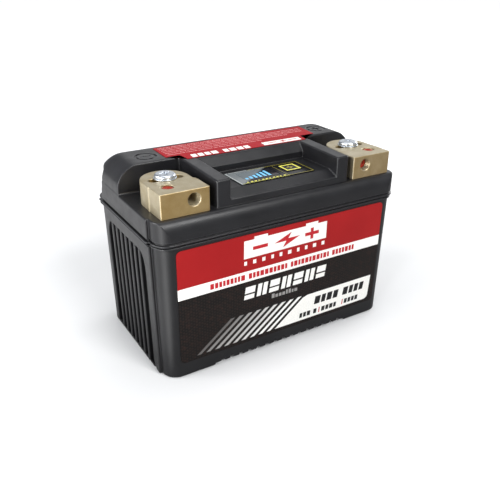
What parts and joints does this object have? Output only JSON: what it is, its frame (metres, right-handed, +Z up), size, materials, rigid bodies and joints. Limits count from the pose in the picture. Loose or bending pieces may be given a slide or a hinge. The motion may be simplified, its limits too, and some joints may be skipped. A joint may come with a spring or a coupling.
{
  "type": "motorcycle battery",
  "caption": "Sealed box battery for a motorcycle: ribbed black case and humped lid with a charge display, test key and two brass terminal blocks in open corner pockets.",
  "frame": {"origin": "centre of the footprint, on the plane the feet stand on", "axes": "+Z up, +X along the long side towards the positive terminal, -Y out of the face with the main label"},
  "size_m": [0.15, 0.087, 0.1033],
  "materials": {
    "case_black": "fine satin texture",
    "label_front": "printed film, satin gloss",
    "label_top": "printed film, satin gloss",
    "display_film": "gloss printed overlay",
    "display_window": "clear tinted window",
    "key_print": "printed key cap",
    "terminal_brass": "machined, satin",
    "screw_steel": "zinc plated",
    "plug_red": "moulded",
    "cell_sleeve": "shrink sleeve",
    "holder_grey": "moulded",
    "nickel": "plated strip",
    "board_green": "solder mask",
    "foam_grey": "closed cell foam",
    "cable_red": "silicone insulation",
    "cable_black": "silicone insulation",
    "connector_white": "moulded",
    "component_black": "moulded epoxy"
  },
  "bodies": {
    "base": {"case": "case_black", "lid": "case_black", "front_label": "label_front", "top_label": "label_top", "display_overlay": "display_film", "display_window": "display_window", "indicator_board": "board_green", "lcd_panel": "connector_white", "tact_switch": "component_black", "lower_cell_holder": "holder_grey", "upper_cell_holder": "holder_grey", "base_foam": "foam_grey", "link_strip_low_a": "nickel", "link_strip_low_b": "nickel", "link_strip_top": "nickel", "negative_strip": "nickel", "positive_strip": "nickel", "insulation_sheet": "holder_grey", "balance_board": "board_green", "balance_connector": "connector_white", "power_transistors": "component_black", "negative_cable": "cable_black", "positive_cable": "cable_red", "indicator_cable": "cable_black", "cell_1": "cell_sleeve", "cell_2": "cell_sleeve", "cell_3": "cell_sleeve", "cell_4": "cell_sleeve", "cell_5": "cell_sleeve", "cell_6": "cell_sleeve", "cell_7": "cell_sleeve", "cell_8": "cell_sleeve", "terminal_block_left": "terminal_brass", "terminal_bush_left": "terminal_brass", "cable_lug_left": "nickel", "terminal_block_right": "terminal_brass", "terminal_bush_right": "terminal_brass", "cable_lug_right": "nickel"},
    "test_button": {"test_button": "key_print"},
    "washer_left": {"washer_left": "screw_steel"},
    "screw_left": {"terminal_screw_left": "screw_steel"},
    "washer_right": {"washer_right": "screw_steel"},
    "screw_right": {"terminal_screw_right": "screw_steel"},
    "top_plug_left": {"top_plug_left": "plug_red"},
    "top_plug_right": {"top_plug_right": "plug_red"},
    "front_plug_right": {"front_plug_right": "plug_red"}
  },
  "joints": [
    {"name": "test_button_press", "type": "slide", "parent": "base", "child": "test_button", "axis": [0, 0, -1], "range_m": [0, 0.0005], "stiffness_N_per_m": 60},
    {"name": "screw_left_lift", "type": "slide", "parent": "base", "child": "washer_left", "axis": [0, 0, 1], "range_m": [0, 0.003]},
    {"name": "screw_left_turn", "type": "hinge", "parent": "washer_left", "child": "screw_left", "pos_m": [-0.0566, -0.0174, 0.1006], "axis": [0, 0, 1], "range_deg": [0, 1080]},
    {"name": "screw_right_lift", "type": "slide", "parent": "base", "child": "washer_right", "axis": [0, 0, 1], "range_m": [0, 0.003]},
    {"name": "screw_right_turn", "type": "hinge", "parent": "washer_right", "child": "screw_right", "pos_m": [0.0566, -0.0174, 0.1006], "axis": [0, 0, 1], "range_deg": [0, 1080]},
    {"name": "top_plug_left_pull", "type": "slide", "parent": "base", "child": "top_plug_left", "axis": [0, 0, 1], "range_m": [0, 0.012]},
    {"name": "top_plug_right_pull", "type": "slide", "parent": "base", "child": "top_plug_right", "axis": [0, 0, 1], "range_m": [0, 0.012]},
    {"name": "front_plug_right_pull", "type": "slide", "parent": "base", "child": "front_plug_right", "axis": [0, -1, 0], "range_m": [0, 0.016]}
  ],
  "couplings": [
    {"joint": "screw_left_turn", "follows": "screw_left_lift", "rad_per_m": 6283.2},
    {"joint": "screw_right_turn", "follows": "screw_right_lift", "rad_per_m": 6283.2}
  ]
}
